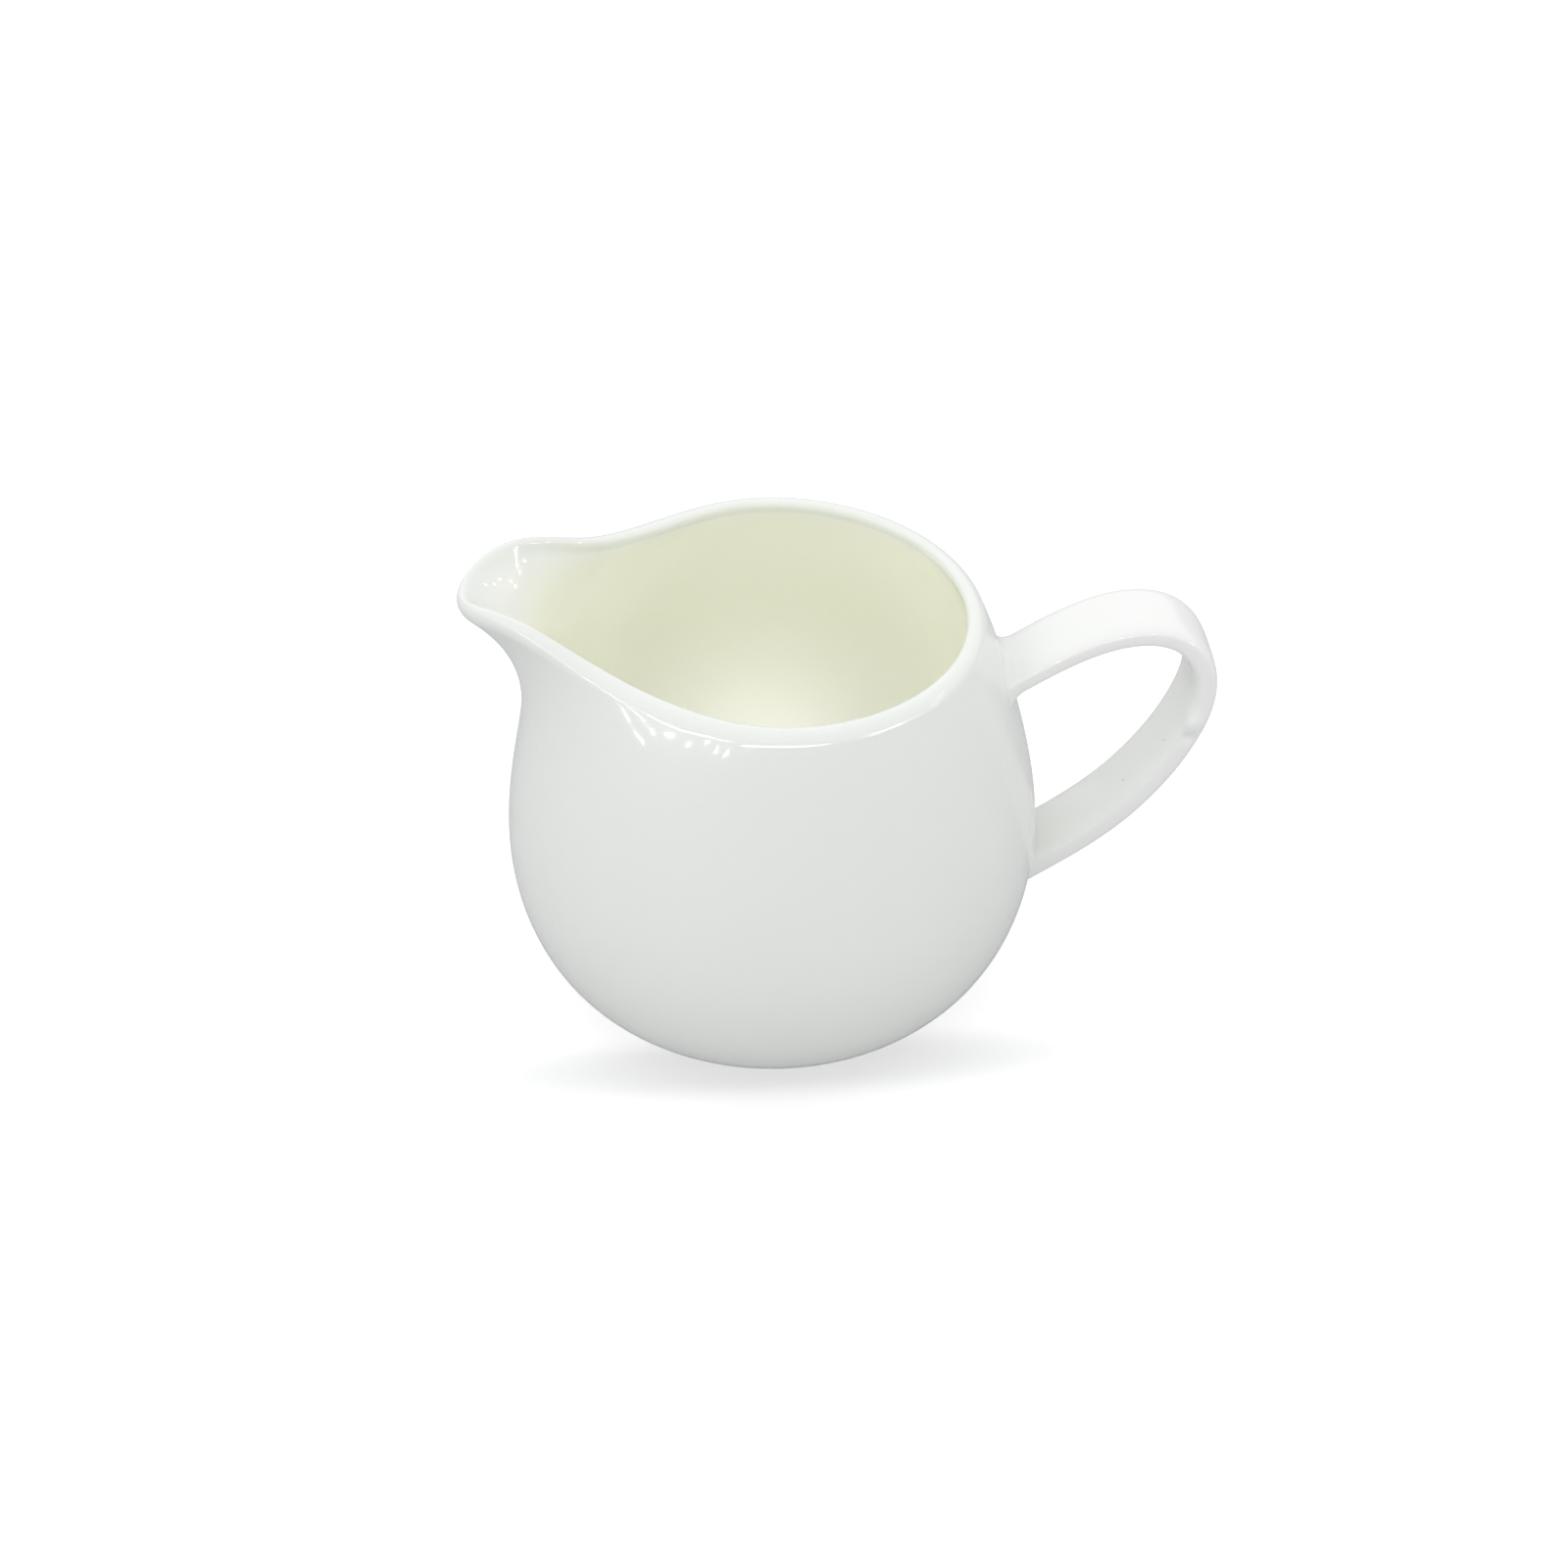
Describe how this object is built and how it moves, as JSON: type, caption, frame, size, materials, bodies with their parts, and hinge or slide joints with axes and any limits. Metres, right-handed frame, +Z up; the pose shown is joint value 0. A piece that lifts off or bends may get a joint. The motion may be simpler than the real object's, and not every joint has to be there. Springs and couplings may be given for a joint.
{
  "type": "cream jug",
  "caption": "Round-bellied porcelain cream jug with a drawn-out pouring lip, a low foot ring and a flat looped strap handle.",
  "frame": {"origin": "on the plane that the foot ring rests on, midway between the tip of the pouring lip and the back of the handle, in the jug's plane of symmetry", "axes": "+Z up, +X from the pouring lip towards the handle, +Y to the left of someone who holds the handle and pours"},
  "size_m": [0.1183, 0.086, 0.0814],
  "materials": {
    "body_glaze": "clear glossy glaze over white porcelain, with a faint cool green-grey tone outside and a creamy tone inside",
    "foot_clay": "glazed flanks, with the resting rim wiped bare: matte white bisque",
    "handle_glaze": "clear glossy glaze over white porcelain",
    "joint_glaze": "clear glossy glaze over fired slip"
  },
  "bodies": {
    "root": {"jug_body": "body_glaze", "foot_ring": "foot_clay", "handle": "handle_glaze", "upper_handle_joint": "joint_glaze", "lower_handle_joint": "joint_glaze"}
  },
  "joints": []
}
